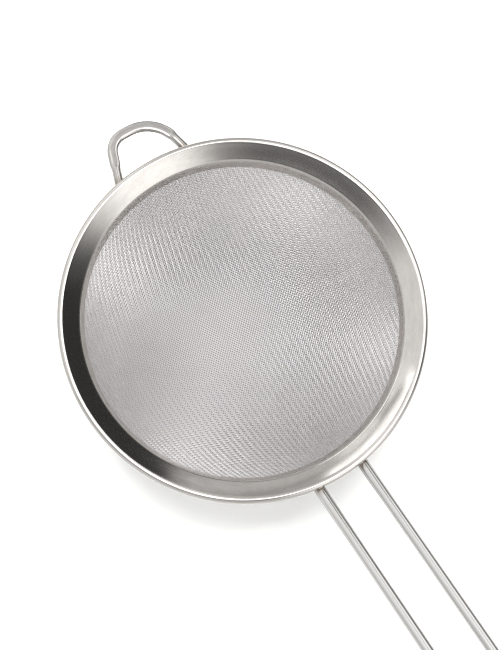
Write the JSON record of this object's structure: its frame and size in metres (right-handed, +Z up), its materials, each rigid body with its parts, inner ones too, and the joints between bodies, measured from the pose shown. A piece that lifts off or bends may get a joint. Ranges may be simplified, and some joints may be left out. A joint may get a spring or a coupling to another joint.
{
  "type": "kitchen strainer",
  "caption": "Round-bowl kitchen strainer: woven wire bowl clamped under a flared steel rim, with a long bent-rod handle and a rest loop facing it.",
  "frame": {"origin": "under the middle of the footprint, at the height of the bowl's lowest wire", "axes": "+X along the handle, away from the bowl; +Z up, out of the bowl's mouth"},
  "size_m": [0.4148, 0.2, 0.1227],
  "materials": {
    "satin_steel": "satin",
    "polished_steel": "polished",
    "woven_steel": "drawn wire"
  },
  "bodies": {
    "root": {"rim_frame": "satin_steel", "mesh_bowl": "woven_steel", "clamp_ring": "satin_steel", "handle_rod": "polished_steel", "rest_loop": "polished_steel"}
  },
  "joints": []
}
